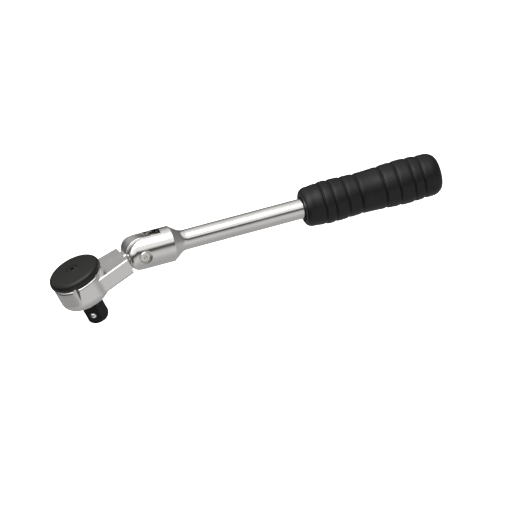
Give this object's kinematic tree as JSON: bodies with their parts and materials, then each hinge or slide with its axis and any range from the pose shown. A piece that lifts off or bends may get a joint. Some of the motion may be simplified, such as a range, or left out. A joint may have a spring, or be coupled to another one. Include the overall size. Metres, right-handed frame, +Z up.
{
  "type": "ratchet wrench",
  "caption": "Flex-head reversible ratchet wrench with a square drive, a domed reversing disc, a forked joint and a ribbed rubber grip.",
  "frame": {"origin": "centre of the square drive's end face", "axes": "+Z up the drive axis to the reversing disc, +X from the drive axis to the flex joint, -Y the side that holds the ball's face when the tool is at rest"},
  "size_m": [0.3025, 0.0416, 0.1128],
  "materials": {
    "chrome": "satin-polished chrome plate on forged steel",
    "bright_steel": "ground, bare",
    "hardened_steel": "hardened, oiled",
    "spring_steel": "drawn wire",
    "black_knob": "satin black moulding",
    "black_oxide": "black oxide on steel",
    "black_phosphate": "black phosphate on steel, oiled",
    "seal_rubber": "smooth",
    "grip_rubber": "satin black rubber"
  },
  "bodies": {
    "head": {"head_body": "chrome", "pawl_pin": "bright_steel", "thrust_washer": "hardened_steel", "cover_plate": "hardened_steel", "retaining_ring": "black_oxide"},
    "handle": {"handle_shaft": "chrome", "pivot_pin": "bright_steel", "joint_spring": "spring_steel", "rubber_grip": "grip_rubber"},
    "drive": {"drive_anvil": "black_phosphate", "drive_seal": "seal_rubber", "drive_ball_spring": "spring_steel"},
    "detent_ball": {"drive_ball": "bright_steel"},
    "selector": {"reversing_disc": "black_knob", "disc_seal": "seal_rubber", "disc_screw": "black_oxide", "selector_hub": "hardened_steel", "selector_spring": "spring_steel"},
    "selector_plunger": {"selector_plunger": "bright_steel"},
    "pawl": {"pawl": "hardened_steel"},
    "joint_plunger": {"joint_plunger": "hardened_steel"}
  },
  "joints": [
    {"name": "handle_flex", "type": "hinge", "parent": "head", "child": "handle", "pos_m": [0.0516, 0, 0.0294], "axis": [0, 1, 0], "range_deg": [-109.5, 70.5]},
    {"name": "drive_spin", "type": "hinge", "parent": "head", "child": "drive", "pos_m": [0, 0, 0.025], "axis": [0, 0, 1], "continuous": true},
    {"name": "detent_ball_push", "type": "slide", "parent": "drive", "child": "detent_ball", "axis": [0.6691, 0.7431, 0], "range_m": [0, 0.0014], "stiffness_N_per_m": 1500, "springref_m": -0.001, "deforming": ["drive_ball_spring"]},
    {"name": "disc_turn", "type": "hinge", "parent": "head", "child": "selector", "pos_m": [0, 0, 0.042], "axis": [0, 0, 1], "range_deg": [0, 24]},
    {"name": "plunger_push", "type": "slide", "parent": "selector", "child": "selector_plunger", "axis": [-0.9781, 0.2079, 0], "range_m": [0, 0.0012], "stiffness_N_per_m": 800, "springref_m": -0.001, "deforming": ["selector_spring"]},
    {"name": "pawl_rock", "type": "hinge", "parent": "head", "child": "pawl", "pos_m": [0.0186, 0, 0.03], "axis": [0, 0, 1], "range_deg": [-7.71, 0]},
    {"name": "joint_plunger_push", "type": "slide", "parent": "handle", "child": "joint_plunger", "axis": [0.9426, 0, -0.3338], "range_m": [0, 0.001], "stiffness_N_per_m": 12000, "springref_m": -0.001, "deforming": ["joint_spring"]}
  ],
  "couplings": [
    {"joint": "pawl_rock", "follows": "disc_turn", "ratio": -0.32133}
  ]
}
